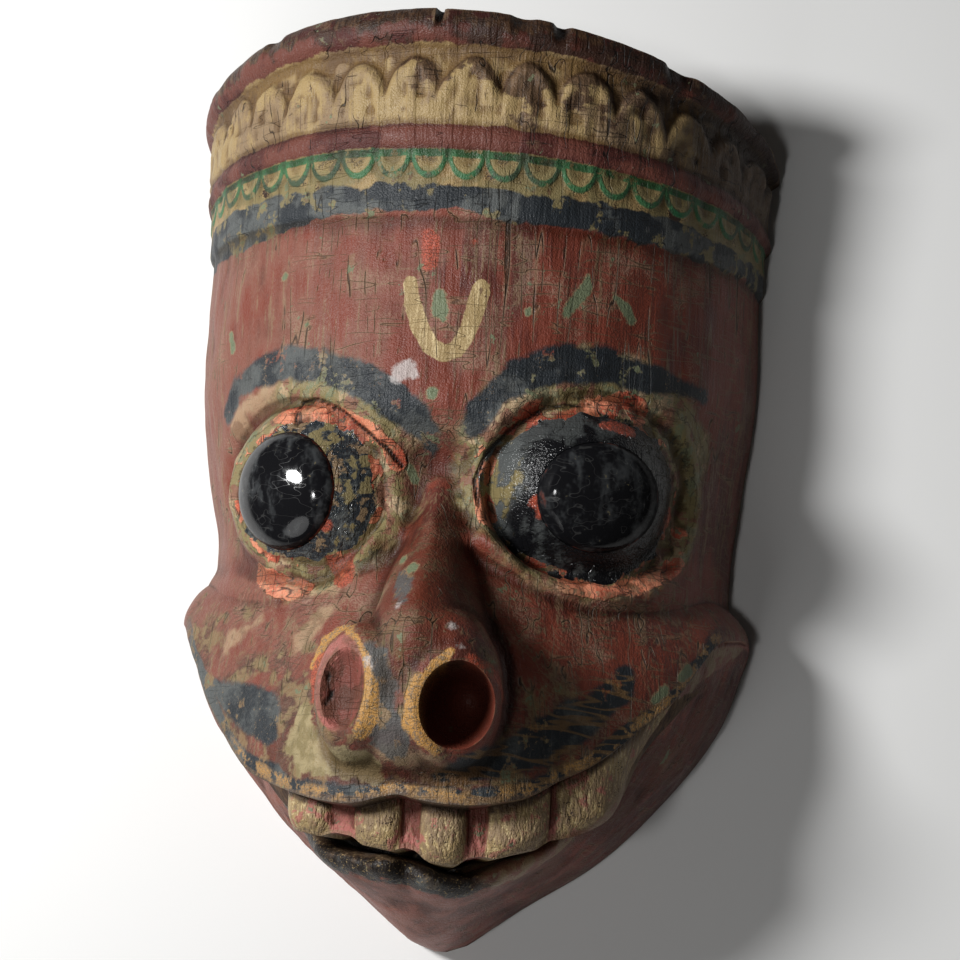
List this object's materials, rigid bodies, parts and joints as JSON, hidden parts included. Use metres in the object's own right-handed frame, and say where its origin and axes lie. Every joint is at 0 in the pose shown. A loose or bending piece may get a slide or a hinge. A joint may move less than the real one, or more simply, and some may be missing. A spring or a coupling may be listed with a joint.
{
  "type": "hanuman temple mask",
  "caption": "Hollow carved and painted wooden monkey-face temple mask with a petalled crown, domed glossy eyes and bared teeth, lying face up.",
  "frame": {"origin": "centre of the bounding box, on the plane of the back rim that the mask lies on", "axes": "+X towards the viewer's right of the face, +Y along the face from chin to crown, +Z out of the face"},
  "size_m": [0.3257, 0.4756, 0.1989],
  "materials": {
    "mask_shell": "old crackled red paint over carved wood, with cream, green and dark blue bands",
    "left_eye": "glossy black dome",
    "right_eye": "glossy black dome"
  },
  "bodies": {
    "root": {"mask_shell": "mask_shell", "left_eye": "left_eye", "right_eye": "right_eye"}
  },
  "joints": []
}
